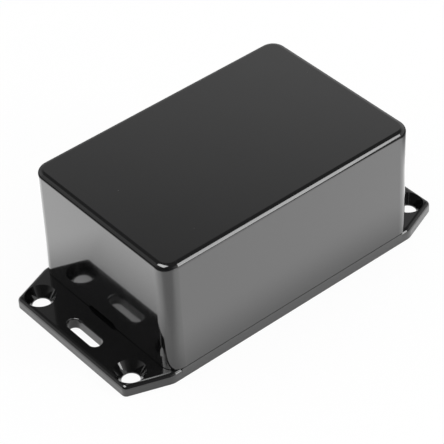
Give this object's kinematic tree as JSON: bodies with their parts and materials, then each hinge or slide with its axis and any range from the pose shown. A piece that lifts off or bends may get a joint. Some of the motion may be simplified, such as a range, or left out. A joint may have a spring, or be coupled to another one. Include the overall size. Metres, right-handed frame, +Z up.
{
  "type": "flanged plastic project box",
  "caption": "Deep rectangular plastic enclosure with rounded corners, standing mouth down on a flat lid whose two end flanges carry countersunk fixing holes and a slot.",
  "frame": {"origin": "centre of the lid's underside, the face that rests on the mounting surface", "axes": "+X along the box towards one flange, +Y across the box, +Z up from the mounting surface towards the closed face"},
  "size_m": [0.1094, 0.056, 0.0387],
  "materials": {
    "abs_black": "glossy moulded ABS",
    "screw_steel": "zinc-plated steel",
    "insert_brass": "turned brass"
  },
  "bodies": {
    "root": {"case": "abs_black", "flanged_lid": "abs_black", "lid_screw_1": "screw_steel", "lid_screw_2": "screw_steel", "lid_screw_3": "screw_steel", "lid_screw_4": "screw_steel", "insert_1": "insert_brass", "insert_2": "insert_brass", "insert_3": "insert_brass", "insert_4": "insert_brass"}
  },
  "joints": []
}
